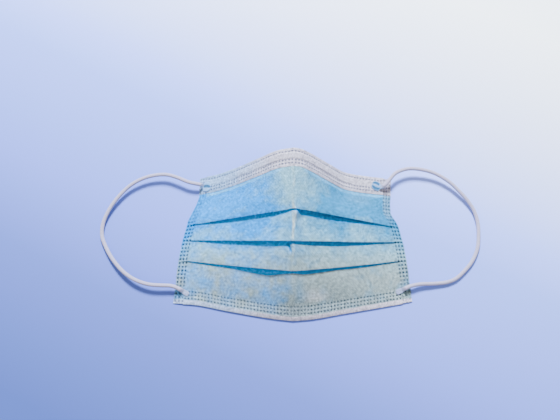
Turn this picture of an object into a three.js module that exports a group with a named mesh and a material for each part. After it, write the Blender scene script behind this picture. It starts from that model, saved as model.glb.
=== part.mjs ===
// Pleated face mask, lying opened on a table with its nose end bent to a peak.
// Millimetres. +X is the wearer's left, +Y the nose edge, +Z up off the table.
// The origin is under the middle of the mask, on the table.
import * as THREE from 'three';

// Outline of the opened mask, seen from above
const footHalfWidth = 87.3; // centre line to a bottom corner
const ridgeLength = 117.4; // nose edge to chin edge, over the centre crease
const leftSide = { set: 8.9, length: 95.6 }; // how far the corner sits below the peak, edge length
const rightSide = { set: 10.0, length: 93.4 };
const peakHeight = 43; // nose edge at the centre crease, above the table

// Cloth, pleats and weld seams
const wall = 1; // the three plies together
const layerGap = 0.35; // air between the layers of a pleat
const clearance = 0.3; // between any two pieces
const tableLift = 0.1; // lowest cloth at the rim, above the table
const pleatDepth = 7.6; // how deep a closed pleat tucks in at the sides
const pleatOpening = 0.6; // extra drop under a lip where the pleats stand open
const seamWidth = 7.6; // seen from above; the weld seam slopes
const seamRim = 1.2; // crushed thickness at the outer rim
const seamFoot = 2.4; // width of the seam that lies flat on the table

// Nose band and its wire, chin hem
const bandWidth = 13;
const bandLeaf = 0.8; // each leaf of the folded band
const bandLap = 5; // how far the band laps over the cloth
const wireInset = 3.1; // from the nose edge to the wire
const wireWidth = 4.2;
const wireThickness = 1;
const wireLength = 104;
const chinHemWidth = 3;
const chinHemThickness = 1.4;

// Elastic ear loops
const loopDiameter = 3;
const loopEnd = { length: 8.5, width: 6, thickness: 1.2, round: 1.6 };

// Where the middles of the flattened ends are welded, in from the rim and from the nose or chin edge,
// and the direction the cord runs in with, in degrees from +X
const loopEnds = [
  { side: -1, nose: true, rimGap: 6.8, edgeGap: 7.2, heading: -8 },
  { side: -1, nose: false, rimGap: 9.4, edgeGap: 6.9, heading: -31 },
  { side: 1, nose: true, rimGap: 12.4, edgeGap: 6.6, heading: 174 },
  { side: 1, nose: false, rimGap: 9.8, edgeGap: 6.9, heading: 207 },
];

// Centre lines of the two ear loops, from the nose corner round to the chin corner
const leftLoop = [
  [-69, 43.3, 5.3], [-73, 43.9, 6], [-78.4, 45, 6.4], [-88.4, 49.1, 6.4], [-96, 51.1, 6], [-106.2, 50.4, 5.6],
  [-115.6, 47.3, 5.2], [-124.2, 41.8, 4.6], [-132.6, 32.7, 4], [-138.9, 22.5, 3.2], [-142.2, 13.1, 2.4],
  [-142.4, 4.3, 1.8], [-138.8, -4.6, 2.1], [-132.7, -14.3, 2.9], [-124.6, -23.2, 3.9], [-115.6, -29.3, 4.8],
  [-105.4, -32.8, 5.3], [-96.6, -33.6, 5.3], [-89.8, -33.8, 5], [-85.9, -34.7, 4.7], [-82.15, -36.4, 4.1],
];
const rightLoop = [
  [68.75, 41.8, 6.5], [70.8, 43.4, 6.9], [74, 47.2, 7.2], [78.6, 52, 7.3], [88.3, 55.5, 7.1],
  [99.9, 54.7, 6.5], [110.1, 51.4, 5.8], [120.1, 44.9, 5], [126.6, 38.4, 4.2], [131.8, 32.4, 3.4],
  [136.8, 24.2, 2.6], [139.3, 14.6, 2], [139.3, 4.3, 1.7], [137.5, -5.9, 1.6], [132.8, -15.4, 1.6],
  [126.4, -22.7, 1.6], [120, -28.1, 1.6], [113.3, -30.7, 1.8], [102.6, -31.9, 2.4], [94, -32.3, 3.3],
  [87, -33.7, 4.1], [82.05, -35.6, 4.2],
];

const steepestSide = 28; // degrees, of the cloth across the mask
const layerPitch = (wall + layerGap) / Math.cos(THREE.MathUtils.degToRad(steepestSide)); // straight up
const turnRadius = layerPitch / 2;
const closedDrop = 2 * layerPitch; // from the top layer down to the lowest one
const bandCavity = wall / 2 + clearance;
const bandHalf = bandCavity + bandLeaf;
const ridgeTop = ridgeLength / 2;

// Share of the half width at shares of the side edge, nose corner first
const leftEdge = [[0, 0.809], [0.14, 0.812], [0.37, 0.905], [0.66, 0.969], [1, 1]];
const rightEdge = [[0, 0.868], [0.27, 0.851], [0.4, 0.915], [0.66, 0.968], [1, 1]];

// Share of the fall from the crease to the side, at shares of the half width
const leftNose = [[0, 0], [0.13, 0.065], [0.35, 0.34], [0.6, 0.665], [0.85, 0.925], [1, 1]];
const rightNose = [[0, 0], [0.06, 0.023], [0.14, 0.125], [0.34, 0.475], [0.53, 0.78], [0.72, 0.9], [1, 1]];
const leftChin = [[0, 0], [0.14, 0.1], [0.55, 0.57], [0.83, 0.93], [1, 1]];
const rightChin = [[0, 0], [0.14, 0.07], [0.41, 0.36], [0.69, 0.66], [1, 1]];

// The three pleat lips: shares of the side edge, of the crease, of the peak height and of the pleat
// opening, then the cloth's slope where it arrives at the lip and where it leaves the tuck
const lips = [
  { sideShare: 0.383, ridgeShare: 0.361, peakShare: 0.837, openShare: 0.8, slopeIn: 0.3, slopeOut: 0.05 },
  { sideShare: 0.508, ridgeShare: 0.549, peakShare: 0.705, openShare: 1, slopeIn: 0.15, slopeOut: 0.1 },
  { sideShare: 0.663, ridgeShare: 0.722, peakShare: 0.512, openShare: 1, slopeIn: 0.3, slopeOut: 0.2 },
];

// Height at the crease of the band's lower edge and of the chin edge, as shares of the peak height,
// and the cloth's slope as it leaves the one and reaches the other
const bandShare = 0.985;
const bandSlope = 0.1;
const chinShare = 0.028;
const chinSlope = 0.75;

// The fall of a lip from the crease to the side: how round it goes over the crease and how much it sags
const creaseShare = 0.02;
const sagShare = 0.23;

// How far a pleat stands open, and how deep it still tucks, at shares of the half width
const opening = [[0, 0], [0.04, 0.3], [0.14, 0.95], [0.3, 1], [0.55, 0.72], [0.82, 0.25], [1, 0]];
const tuck = [[0, 0.73], [0.4, 0.78], [0.7, 0.92], [0.9, 1], [1, 1]];

// Columns across the mask, closer together at the crease, and points down it on each kind of stretch
const columns = [0, 0.035, 0.07, 0.105, 0.15, 0.22, 0.3, 0.39, 0.48, 0.57, 0.66, 0.75, 0.83];
const shelfPoints = 5;
const runPoints = 2;
const turnSteps = 4;
const seamPoints = 8;
const roundSteps = 4;
const loopFacet = 2.2; // length of a loop's facets, in diameters

// Monotone cubic through a short table of [share, value] pairs
function curve(table, at) {
  const n = table.length;
  const k = Math.min(n - 2, Math.max(0, table.findIndex(([s]) => s >= at) - 1));
  const step = (i) => (table[i + 1][1] - table[i][1]) / (table[i + 1][0] - table[i][0]);
  const slope = (i) => {
    if (i === 0) return step(0);
    if (i === n - 1) return step(n - 2);
    const [a, b] = [step(i - 1), step(i)];
    return a * b <= 0 ? 0 : (2 * a * b) / (a + b);
  };
  const [x0, y0] = table[k];
  const [x1, y1] = table[k + 1];
  const w = x1 - x0;
  const t = THREE.MathUtils.clamp((at - x0) / w, 0, 1);
  const rise = (2 * t ** 3 - 3 * t ** 2 + 1) * y0 + (3 * t ** 2 - 2 * t ** 3) * y1;
  return rise + w * ((t ** 3 - 2 * t ** 2 + t) * slope(k) + (t ** 3 - t ** 2) * slope(k + 1));
}

const sideOf = (u) => (u < 0 ? leftSide : rightSide);
const mix = (a, b, t) => a + (b - a) * t;

function lipFall(share) {
  const s = (Math.hypot(share, creaseShare) - creaseShare) / (Math.hypot(1, creaseShare) - creaseShare);
  return mix(s, s * s, sagShare);
}

// A row of the mask at column u, from -1 at the left rim to 1 at the right rim
function noseRow(u) {
  const fall = curve(u < 0 ? leftNose : rightNose, Math.abs(u));
  return { y: mix(ridgeTop, ridgeTop - sideOf(u).set, fall), z: mix(peakHeight, bandHalf + tableLift, fall) };
}

function bandRow(u) {
  const { y, z } = noseRow(u);
  return { y: y - bandWidth, z: z * bandShare };
}

function lipRow(u, { sideShare, ridgeShare, peakShare }) {
  const fall = lipFall(Math.abs(u));
  const sideY = ridgeTop - sideOf(u).set - sideShare * sideOf(u).length;
  const rimHeight = closedDrop + wall / 2 + tableLift;
  return {
    y: mix(ridgeTop - ridgeShare * ridgeLength, sideY, fall),
    z: mix(peakShare * peakHeight, rimHeight, fall),
  };
}

function chinRow(u) {
  const fall = curve(u < 0 ? leftChin : rightChin, Math.abs(u));
  const sideY = ridgeTop - sideOf(u).set - sideOf(u).length;
  const rimHeight = chinHemThickness / 2 + tableLift;
  return { y: mix(-ridgeTop, sideY, fall), z: mix(chinShare * peakHeight, rimHeight, fall) };
}

// The cloth's middle line at a distance above the chin edge
function aboveChin(u, distance) {
  const { y, z } = chinRow(u);
  return { y: y + distance, z: z + chinSlope * (1 - lipFall(Math.abs(u))) * distance };
}

function across(u, y) {
  const share = (noseRow(u).y - y) / (noseRow(u).y - chinRow(u).y);
  return u * footHalfWidth * curve(u < 0 ? leftEdge : rightEdge, THREE.MathUtils.clamp(share, 0, 1));
}

const place = (u, { y, z }) => new THREE.Vector3(across(u, y), y, z);

// The point at share t on a cubic z(y) between two points with given slopes
function onSweep(from, fromSlope, to, toSlope, t) {
  const w = to.y - from.y;
  const rise = mix(from.z, to.z, 3 * t ** 2 - 2 * t ** 3);
  const lean = (t ** 3 - 2 * t ** 2 + t) * fromSlope + (t ** 3 - t ** 2) * toSlope;
  return { y: from.y + w * t, z: rise + w * lean };
}

// Points along such a cubic, both ends left out
function sweep(from, fromSlope, to, toSlope, count) {
  return Array.from({ length: count }, (_, i) => onSweep(from, fromSlope, to, toSlope, (i + 1) / (count + 1)));
}

// Points on a straight run, both ends left out
function between(from, to) {
  return Array.from({ length: runPoints }, (_, i) => {
    const t = (i + 1) / (runPoints + 1);
    return { y: mix(from.y, to.y, t), z: mix(from.z, to.z, t) };
  });
}

const lengthOf = (from, to) => Math.hypot(to.y - from.y, to.z - from.z);
const angleOf = (from, to) => Math.atan2(to.z - from.z, to.y - from.y);

function turn(centre, from, to) {
  return Array.from({ length: turnSteps + 1 }, (_, i) => {
    const a = mix(from, to, i / turnSteps);
    return { y: centre.y + turnRadius * Math.cos(a), z: centre.z + turnRadius * Math.sin(a) };
  });
}

// One pleat at column u: round the lip, back under it, round the tuck. The tuck sinks with the panel
// above, which begins where the last fold ended, wherever that panel falls away from the lip.
function pleat(u, lip, last) {
  const share = Math.abs(u);
  const { y, z } = lipRow(u, lip);
  const up = 1 - lipFall(share);
  const slopeIn = lip.slopeIn * up;
  const slopeOut = lip.slopeOut * up;
  const drop = closedDrop + pleatOpening * lip.openShare * curve(opening, share);
  const depth = pleatDepth * curve(tuck, share);
  const front = { y: y + turnRadius, z: z - turnRadius };
  const lipAngle = Math.PI / 2 + Math.atan(slopeIn);
  const start = turn(front, lipAngle, lipAngle)[0];
  const tipShare = (y + depth - last.end.y) / (start.y - last.end.y);
  const above = onSweep(last.end, last.slopeOut, start, slopeIn, THREE.MathUtils.clamp(tipShare, 0, 1));
  const sink = Math.min(0, above.z - start.z - slopeIn * (above.y - start.y));
  const back = { y: y + depth - turnRadius, z: z - drop + turnRadius + sink };
  const under = { y: y - clearance, z: z - drop - slopeOut * depth };
  const bottom = angleOf(front, back) - Math.acos((2 * turnRadius) / lengthOf(front, back)) + 2 * Math.PI;
  const leaving = angleOf(under, back) - Math.asin(turnRadius / lengthOf(under, back));
  const lipTurn = turn(front, lipAngle, bottom);
  const tuckTurn = turn(back, bottom - Math.PI, leaving - Math.PI / 2);
  const riser = between(lipTurn.at(-1), tuckTurn[0]);
  const points = [...lipTurn, ...riser, ...tuckTurn, ...between(tuckTurn.at(-1), under), under];
  return { points, start, end: under, slopeIn, slopeOut };
}

// The lowest panel at column u, from under the last pleat down to the chin hem
function lastPanel(u, fold, count) {
  const hemTop = aboveChin(u, chinHemWidth + clearance);
  const slope = chinSlope * (1 - lipFall(Math.abs(u)));
  return [...sweep(fold.end, fold.slopeOut, hemTop, slope, count), hemTop];
}

// The cloth's middle line down column u, from under the band to the chin hem
function clothLine(u) {
  const [nose, band] = [noseRow(u), bandRow(u)];
  const lap = bandLap / bandWidth;
  const line = [{ y: mix(band.y, nose.y, lap), z: mix(band.z, nose.z, lap) }, band];
  let last = { end: band, slopeOut: (nose.z - band.z) / bandWidth + bandSlope * (nose.z / peakHeight) };
  for (const lip of lips) {
    const fold = pleat(u, lip, last);
    line.push(...sweep(last.end, last.slopeOut, fold.start, fold.slopeIn, shelfPoints), ...fold.points);
    last = fold;
  }
  line.push(...lastPanel(u, last, shelfPoints));
  return line;
}

function solid(vertices, triangles) {
  const geometry = new THREE.BufferGeometry();
  const values = vertices.flatMap((v) => v.toArray());
  geometry.setAttribute('position', new THREE.Float32BufferAttribute(values, 3));
  geometry.setIndex(triangles.flat());
  const flat = geometry.toNonIndexed();
  flat.computeVertexNormals();
  return flat;
}

// Triangles of an end cap, from its flat outline and turning the way the outline does
function outlineCap(outline) {
  const way = Math.sign(THREE.ShapeUtils.area(outline));
  const turnsAlike = (triangle) => Math.sign(THREE.ShapeUtils.area(triangle.map((i) => outline[i]))) === way;
  const triangles = THREE.ShapeUtils.triangulateShape(outline, []);
  return triangles.map(([a, b, c]) => (turnsAlike([a, b, c]) ? [a, b, c] : [a, c, b]));
}

// Triangles of an end cap whose outline runs out along one face and back along the other
function ladderCap(n) {
  const rung = (_, i) => [[i, i + 1, n - 1 - i], [i + 1, n - 2 - i, n - 1 - i]];
  return Array.from({ length: n / 2 - 1 }, rung).flat();
}

// A closed skin over a run of equal closed sections
function loft(sections, cap) {
  const n = sections[0].length;
  const triangles = [];
  for (let s = 0; s < sections.length - 1; s += 1) {
    for (let i = 0; i < n; i += 1) {
      const [a, b] = [s * n + i, s * n + ((i + 1) % n)];
      triangles.push([a, b, a + n], [b, b + n, a + n]);
    }
  }
  const last = (sections.length - 1) * n;
  for (const [a, b, c] of cap) {
    triangles.push([a, c, b], [last + a, last + b, last + c]);
  }
  const geometry = solid(sections.flat(), triangles);
  if (volumeOf(geometry) > 0) return geometry;
  return solid(sections.flat(), triangles.map(([a, b, c]) => [a, c, b]));
}

function volumeOf(geometry) {
  const at = geometry.getAttribute('position');
  const [a, b, c] = [new THREE.Vector3(), new THREE.Vector3(), new THREE.Vector3()];
  let sum = 0;
  for (let i = 0; i < at.count; i += 3) {
    for (const [k, corner] of [a, b, c].entries()) corner.fromBufferAttribute(at, i + k);
    sum += a.dot(b.cross(c));
  }
  return sum / 6;
}

// Unit normals of a grid of points; the end columns' lean neither way across the mask
function normalsOf(grid) {
  return grid.map((row, i) => row.map((_, j) => {
    const down = grid[Math.min(i + 1, grid.length - 1)][j].clone().sub(grid[Math.max(i - 1, 0)][j]);
    const over = row[Math.min(j + 1, row.length - 1)].clone().sub(row[Math.max(j - 1, 0)]);
    const out = down.cross(over);
    return (j === 0 || j === row.length - 1 ? out.setX(0) : out).normalize();
  }));
}

// A strip's end faces follow the weld seam's inner edge
const trimTo = (u, point) => point.setX(across(u, point.y));

// Column positions between two ends, the named ones mirrored about the crease
function columnsBetween(left, right) {
  const all = [...columns.slice(1).map((c) => -c).reverse(), ...columns];
  const apart = 0.01;
  return [left, ...all.filter((c) => c > left + apart && c < right - apart), right];
}

// Column where the weld seam's inner edge runs, plus a distance towards the crease
const seamColumn = (inside) => 1 - (seamWidth + inside) / footHalfWidth;

// The pleated cloth between the two weld seams
function facePanel() {
  const edge = seamColumn(clearance);
  const us = columnsBetween(-edge, edge);
  const lines = us.map((u) => clothLine(u).map((p) => place(u, p)));
  const grid = lines[0].map((_, i) => lines.map((line) => line[i]));
  const normals = normalsOf(grid);
  const skin = (sign) => grid.map((row, i) => row.map((p, j) => {
    const point = p.clone().addScaledVector(normals[i][j], (sign * wall) / 2);
    return j === 0 || j === row.length - 1 ? trimTo(us[j], point) : point;
  }));
  const [outer, inner] = [skin(1), skin(-1)];
  const sections = grid.map((_, i) => [...outer[i], ...inner[i].toReversed()]);
  return loft(sections, ladderCap(2 * us.length));
}

// A frame on the band or hem at column u: its top edge, the way down the cloth and the way out of it
function bandFrame(row, foot, u) {
  const [a, b] = [place(u, row(u)), place(u, foot(u))];
  const step = 0.01;
  const over = place(u + step, row(u + step)).sub(place(u - step, row(u - step)));
  const down = b.clone().sub(a).normalize();
  const out = down.clone().cross(over).normalize();
  return { a, down, out };
}

// A strip of constant section along the top or bottom edge; the section is [down, out] pairs
function edgeStrip(row, foot, section, us, trimmed) {
  const outline = section.map(([d, n]) => new THREE.Vector2(d, n));
  const sections = us.map((u, i) => {
    const { a, down, out } = bandFrame(row, foot, u);
    const end = trimmed && (i === 0 || i === us.length - 1);
    if (end) out.setX(0).normalize();
    const points = section.map(([d, n]) => a.clone().addScaledVector(down, d).addScaledVector(out, n));
    return end ? points.map((point) => trimTo(u, point)) : points;
  });
  return loft(sections, outlineCap(outline));
}

function noseBand() {
  const round = bandHalf / 2;
  const section = [
    [bandWidth, bandHalf], [bandWidth, bandCavity], [bandLeaf, bandCavity], [bandLeaf, -bandCavity],
    [bandWidth, -bandCavity], [bandWidth, -bandHalf], [round, -bandHalf], [0, -round], [0, round],
    [round, bandHalf],
  ];
  const edge = seamColumn(clearance);
  return edgeStrip(noseRow, bandRow, section, columnsBetween(-edge, edge), true);
}

function noseWire() {
  const half = wireThickness / 2;
  const [top, bottom] = [wireInset, wireInset + wireWidth];
  const section = [[top, half], [top, -half], [bottom, -half], [bottom, half]];
  const reach = wireLength / 2 / footHalfWidth;
  return edgeStrip(noseRow, bandRow, section, columnsBetween(-reach, reach), false);
}

function chinHem() {
  const half = chinHemThickness / 2;
  const round = half / 2;
  const section = [
    [0, -half], [0, half], [-chinHemWidth + round, half], [-chinHemWidth, round],
    [-chinHemWidth, -round], [-chinHemWidth + round, -half],
  ].map(([d, n]) => [d + chinHemWidth, n]);
  const hemTop = (u) => aboveChin(u, chinHemWidth);
  const edge = seamColumn(clearance);
  return edgeStrip(hemTop, chinRow, section, columnsBetween(-edge, edge), true);
}

// Height of the cloth's outer face at column u, as one value for each y
function outerFace(u) {
  const [nose, band, chin] = [noseRow(u), bandRow(u), chinRow(u)];
  const bandStep = 0.05;
  const face = [
    { y: nose.y, z: nose.z + bandHalf },
    { y: band.y, z: band.z + bandHalf },
    { y: band.y - bandStep, z: band.z + wall / 2 },
  ];
  let last = { end: band, slopeOut: 0 };
  for (const lip of lips) {
    const fold = pleat(u, lip, last);
    const shelf = sweep(last.end, last.slopeOut, fold.start, fold.slopeIn, seamPoints);
    const front = { y: lipRow(u, lip).y, z: lipRow(u, lip).z };
    for (const p of [...shelf, front]) face.push({ y: p.y, z: p.z + wall / 2 });
    face.push({ y: fold.end.y, z: fold.end.z + wall / 2 });
    last = fold;
  }
  const half = chinHemThickness / 2;
  for (const p of [...lastPanel(u, last, seamPoints), chin]) face.push({ y: p.y, z: p.z + half });
  return face;
}

// A weld seam: a ramp from the cloth's outer face down to a thin rim that lies on the table
function sideSeam(sign) {
  const inner = sign * seamColumn(0);
  const stack = closedDrop + wall;
  const rimShare = seamFoot / seamWidth;
  const sections = outerFace(inner).map(({ y, z }) => {
    const rimX = across(sign, y);
    const innerX = across(inner, y);
    const lift = Math.max(0, z - stack);
    const at = (share, height) => new THREE.Vector3(mix(rimX, innerX, share), y, height);
    return [at(0, 0), at(0, seamRim), at(0.5, mix(seamRim, z, 0.5)), at(1, z), at(1, lift), at(rimShare, 0)];
  });
  return loft(sections, ladderCap(sections[0].length));
}

// Height of the finished mask's outer face over a point of the table
function heightOver(x, y) {
  const rounds = 6;
  let u = x / footHalfWidth;
  for (let i = 0; i < rounds; i += 1) u *= x / across(u, y);
  const column = Math.min(Math.abs(u), seamColumn(0));
  const face = outerFace(Math.sign(u) * column);
  const k = Math.max(1, face.findIndex((p) => p.y < y));
  const [a, b] = [face[k - 1], face[k]];
  const z = mix(a.z, b.z, THREE.MathUtils.clamp((a.y - y) / (a.y - b.y), 0, 1));
  return Math.abs(u) > column ? mix(seamRim, z, (1 - Math.abs(u)) / (1 - column)) : z;
}

// The flattened end of an ear loop, welded onto the outer face beside a corner
function loopEndPlate({ side, nose, rimGap, edgeGap, heading }) {
  const corner = place(side, (nose ? noseRow : chinRow)(side));
  const middle = new THREE.Vector2(corner.x - side * rimGap, corner.y + (nose ? -edgeGap : edgeGap));
  const turned = new THREE.Vector2(1, 0).rotateAround(new THREE.Vector2(), THREE.MathUtils.degToRad(heading));
  const on = (along, aside) => {
    const x = middle.x + along * turned.x - aside * turned.y;
    const y = middle.y + along * turned.y + aside * turned.x;
    return new THREE.Vector3(x, y, heightOver(x, y));
  };
  const [halfLength, halfWidth] = [loopEnd.length / 2, loopEnd.width / 2];
  const along = on(halfLength, 0).sub(on(-halfLength, 0)).normalize();
  const out = along.clone().cross(on(0, halfWidth).sub(on(0, -halfWidth))).normalize();
  const middleOn = on(0, 0);
  const shares = [-1, -0.5, 0, 0.5, 1];
  const heightAt = (a, b) => on(a * halfLength, b * halfWidth).sub(middleOn).dot(out);
  const heights = shares.flatMap((a) => shares.map((b) => heightAt(a, b)));
  const plate = new THREE.Shape();
  const { round } = loopEnd;
  plate.moveTo(-halfLength + round, -halfWidth);
  plate.absarc(halfLength - round, -halfWidth + round, round, -Math.PI / 2, 0);
  plate.absarc(halfLength - round, halfWidth - round, round, 0, Math.PI / 2);
  plate.absarc(-halfLength + round, halfWidth - round, round, Math.PI / 2, Math.PI);
  plate.absarc(-halfLength + round, -halfWidth + round, round, Math.PI, 1.5 * Math.PI);
  const { thickness } = loopEnd;
  const onTop = middleOn.addScaledVector(out, Math.max(...heights) + clearance);
  const placing = new THREE.Matrix4().makeBasis(along, out.clone().cross(along), out).setPosition(onTop);
  const made = { depth: thickness, bevelEnabled: false, curveSegments: roundSteps };
  return new THREE.ExtrudeGeometry(plate, made).applyMatrix4(placing);
}

function earLoop(points) {
  const path = new THREE.CatmullRomCurve3(points.map((p) => new THREE.Vector3(...p)), false, 'centripetal');
  const section = new THREE.Shape();
  section.absarc(0, 0, loopDiameter / 2, 0, 2 * Math.PI);
  const steps = Math.round(path.getLength() / (loopFacet * loopDiameter));
  const made = { steps, curveSegments: roundSteps, bevelEnabled: false, extrudePath: path };
  return new THREE.ExtrudeGeometry(section, made);
}

const group = new THREE.Group();
const blueCloth = new THREE.MeshStandardMaterial({ color: 0x6fb0d6, roughness: 0.9, metalness: 0 });
const weldedCloth = new THREE.MeshStandardMaterial({ color: 0x8fbcd8, roughness: 0.8, metalness: 0 });
const whiteCloth = new THREE.MeshStandardMaterial({ color: 0xd8d8e0, roughness: 0.9, metalness: 0 });
const wireFinish = new THREE.MeshStandardMaterial({ color: 0xc9cbd0, roughness: 0.45, metalness: 0.8 });

function add(name, geometry, material) {
  const mesh = new THREE.Mesh(geometry, material);
  mesh.name = name;
  group.add(mesh);
}

add('face_panel', facePanel(), blueCloth);
add('nose_band', noseBand(), whiteCloth);
add('nose_wire', noseWire(), wireFinish);
add('chin_hem', chinHem(), whiteCloth);
add('side_seam_left', sideSeam(-1), weldedCloth);
add('side_seam_right', sideSeam(1), weldedCloth);
for (const end of loopEnds) {
  const name = `ear_loop_end_${end.nose ? 'nose' : 'chin'}_${end.side < 0 ? 'left' : 'right'}`;
  add(name, loopEndPlate(end), whiteCloth);
}
add('ear_loop_left', earLoop(leftLoop), whiteCloth);
add('ear_loop_right', earLoop(rightLoop), whiteCloth);

export default group;
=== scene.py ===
# A pleated face mask, lying opened on a table with its nose end bent to a peak.
# Metres. +X is the wearer's left, +Y the nose edge, +Z up off the table.
import math

import bpy
import numpy as np
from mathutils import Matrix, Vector, noise
from mathutils.bvhtree import BVHTree


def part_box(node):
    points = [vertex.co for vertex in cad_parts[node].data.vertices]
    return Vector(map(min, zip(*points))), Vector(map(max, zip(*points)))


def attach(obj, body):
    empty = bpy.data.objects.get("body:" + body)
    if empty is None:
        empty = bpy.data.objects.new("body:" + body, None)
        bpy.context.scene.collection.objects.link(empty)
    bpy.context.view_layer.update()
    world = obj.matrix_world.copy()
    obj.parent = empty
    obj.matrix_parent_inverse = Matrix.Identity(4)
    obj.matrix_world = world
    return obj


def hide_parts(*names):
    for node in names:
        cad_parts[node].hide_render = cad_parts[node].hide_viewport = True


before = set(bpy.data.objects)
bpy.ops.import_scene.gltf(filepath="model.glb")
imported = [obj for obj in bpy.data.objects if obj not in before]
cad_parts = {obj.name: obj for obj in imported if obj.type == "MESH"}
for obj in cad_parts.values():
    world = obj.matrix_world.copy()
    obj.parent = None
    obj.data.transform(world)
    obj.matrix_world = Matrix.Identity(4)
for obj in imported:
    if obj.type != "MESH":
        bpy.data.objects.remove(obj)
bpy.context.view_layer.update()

MM = 0.001

# Overall sizes, read from the frame
foot_half_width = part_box("side_seam_right")[1].x
ridge_top = -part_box("chin_hem")[0].y
ridge_length = 2 * ridge_top

# How far the nose corners sit below the peak, and the length of the side edges, left and right
side_set = (8.9 * MM, 10.0 * MM)
side_length = (95.6 * MM, 93.4 * MM)
peak_height = 43 * MM
band_half = 1.6 * MM
table_lift = 0.1 * MM

# Cloth and pleats
cloth = 0.4 * MM
layer_gap = 0.12 * MM
steepest_side = math.radians(28)
layer_pitch = (cloth + layer_gap) / math.cos(steepest_side)
turn_radius = layer_pitch / 2
closed_drop = 2 * layer_pitch
# The strip of painted shade under a lip narrows by this share, between these shares of the half width
shade_narrowing = 0.7
shade_narrows = (0.62, 0.92)
pleat_depth = 7.6 * MM
clearance = 0.3 * MM
far_below = 3.0

# Weld seams at the sides
seam_width = 7.6 * MM
seam_rim = 0.9 * MM
seam_foot = 2.4 * MM
seam_stack = 2.2 * MM
seam_overlap = 0.5 * MM
seam_least = 0.3 * MM
seam_lift = 0.02 * MM
# Lower points than this, where the cloth ends, don't set the height of the seam's inner edge
lowest_cloth = 0.2 * MM
# Puckers on the seams and the sway of their rims, with waves per metre down the side
pucker_height = 0.22 * MM
pucker_waves = 210
rim_sway = 0.35 * MM
rim_waves = 150

# Nose band, its wire channel, and the chin edge
band_width = 13 * MM
band_leaf = 0.35 * MM
band_lap = 5 * MM
wire_reach = 52 * MM
hem_zone = 11 * MM
hem_rise = 0.7 * MM
hem_under = 1.2 * MM
binding_width = 2.9 * MM
binding_leaf = 0.3 * MM
# Half the thickness of a strip where it is welded, and what the channel, the wire and the lower edge add
welded_half = 0.55 * MM
channel_bulge = 0.2 * MM
wire_bulge = 0.32 * MM
lower_bulge = 0.08 * MM
# A leaf loses this share of its thickness, within this distance of its free edge
thinned_share = 0.65
thinned_edge = 1.3 * MM
# Distances from the nose edge between which the channel of the wire rises and falls
channel_rise = (2.5 * MM, 3.5 * MM)
channel_fall = (6.9 * MM, 7.9 * MM)

# The cloth is paler just under the band, fading between these distances
pale_under_band = (1.9 * MM, 2.9 * MM)

# Weld dots
dot_size = 1.08 * MM
hem_dot_length = 1.2 * MM
band_dot_length = 1.1 * MM
seam_dot_size = 1.45 * MM
band_dot_pitch = 2.34 * MM
hem_dot_pitch = 2.46 * MM
seam_dot_pitch = 2.8 * MM
dot_depth = 0.22 * MM
seam_dot_rows = (1.3 * MM, 3.9 * MM, 6.5 * MM)
band_dot_rows = (1.9 * MM, 8.2 * MM, 10.5 * MM)
hem_dot_rows = (3.9 * MM, 6.3 * MM, 8.7 * MM)
# How strongly the dots are pressed at shares of the side edge, left and right
left_press = [(0, 0.6), (0.14, 0.45), (0.3, 0.5), (0.42, 1), (0.82, 1), (0.92, 0.65), (1, 0.75)]
right_press = [(0, 0.5), (0.14, 0.8), (0.3, 0.85), (0.42, 1), (0.76, 1), (0.87, 0.55), (1, 0.5)]

# Ear loops
loop_diameter = 3 * MM
loop_end_thickness = 0.9 * MM
loop_end_gap = 0.06 * MM
knit_row = 1.15 * MM
knit_relief = 0.16 * MM
knit_step = 0.26 * MM

# How closely the meshes are sampled: columns in shares of the half width, then rows and points
wide_column = 0.0102
fine_column = 0.0042
fine_zone = 0.045
strip_row = 0.32 * MM
binding_row = 0.36 * MM
seam_row = 0.3 * MM
seam_columns = 27
panel_rows = (30, 24, 21)
last_panel_rows = 27
turn_points = 9
riser_points = 10
leaving_points = 6
lap_rows = 7
route_points = 9
ring_points = 28
end_rows = 61
end_columns = 33

# Edges sharper than this, in degrees, are shaded sharp, and tones change over twice this distance
sharp_angle = 55
soft_step = 0.15 * MM

# Wrinkles over all the cloth: height, then waves per metre along x and y, and a seed
wrinkles = [(0.55 * MM, 48, 62, 3.7), (0.16 * MM, 190, 230, 9.1)]
pinch_height = 0.35 * MM
pinch_width = 1.6 * MM
calm_height = 5 * MM

# Centre lines of the ear loops in millimetres, from the nose corner round to the chin corner
left_loop = [
    (-69, 43.3, 5.3), (-73, 43.9, 6), (-78.4, 45, 6.4), (-88.4, 49.1, 6.4), (-96, 51.1, 6),
    (-106.2, 50.4, 5.6), (-115.6, 47.3, 5.2), (-124.2, 41.8, 4.6), (-132.6, 32.7, 4), (-138.9, 22.5, 3.2),
    (-142.2, 13.1, 2.4), (-142.4, 4.3, 1.8), (-138.8, -4.6, 2.1), (-132.7, -14.3, 2.9),
    (-124.6, -23.2, 3.9), (-115.6, -29.3, 4.8), (-105.4, -32.8, 5.3), (-96.6, -33.6, 5.3),
    (-89.8, -33.8, 5), (-85.9, -34.7, 4.7), (-82.15, -36.4, 4.1),
]
right_loop = [
    (68.75, 41.8, 6.5), (70.8, 43.4, 6.9), (74, 47.2, 7.2), (78.6, 52, 7.3), (88.3, 55.5, 7.1),
    (99.9, 54.7, 6.5), (110.1, 51.4, 5.8), (120.1, 44.9, 5), (126.6, 38.4, 4.2), (131.8, 32.4, 3.4),
    (136.8, 24.2, 2.6), (139.3, 14.6, 2), (139.3, 4.3, 1.7), (137.5, -5.9, 1.6), (132.8, -15.4, 1.6),
    (126.4, -22.7, 1.6), (120, -28.1, 1.6), (113.3, -30.7, 1.8), (102.6, -31.9, 2.4), (94, -32.3, 3.3),
    (87, -33.7, 4.1), (82.05, -35.6, 4.2),
]

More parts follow.
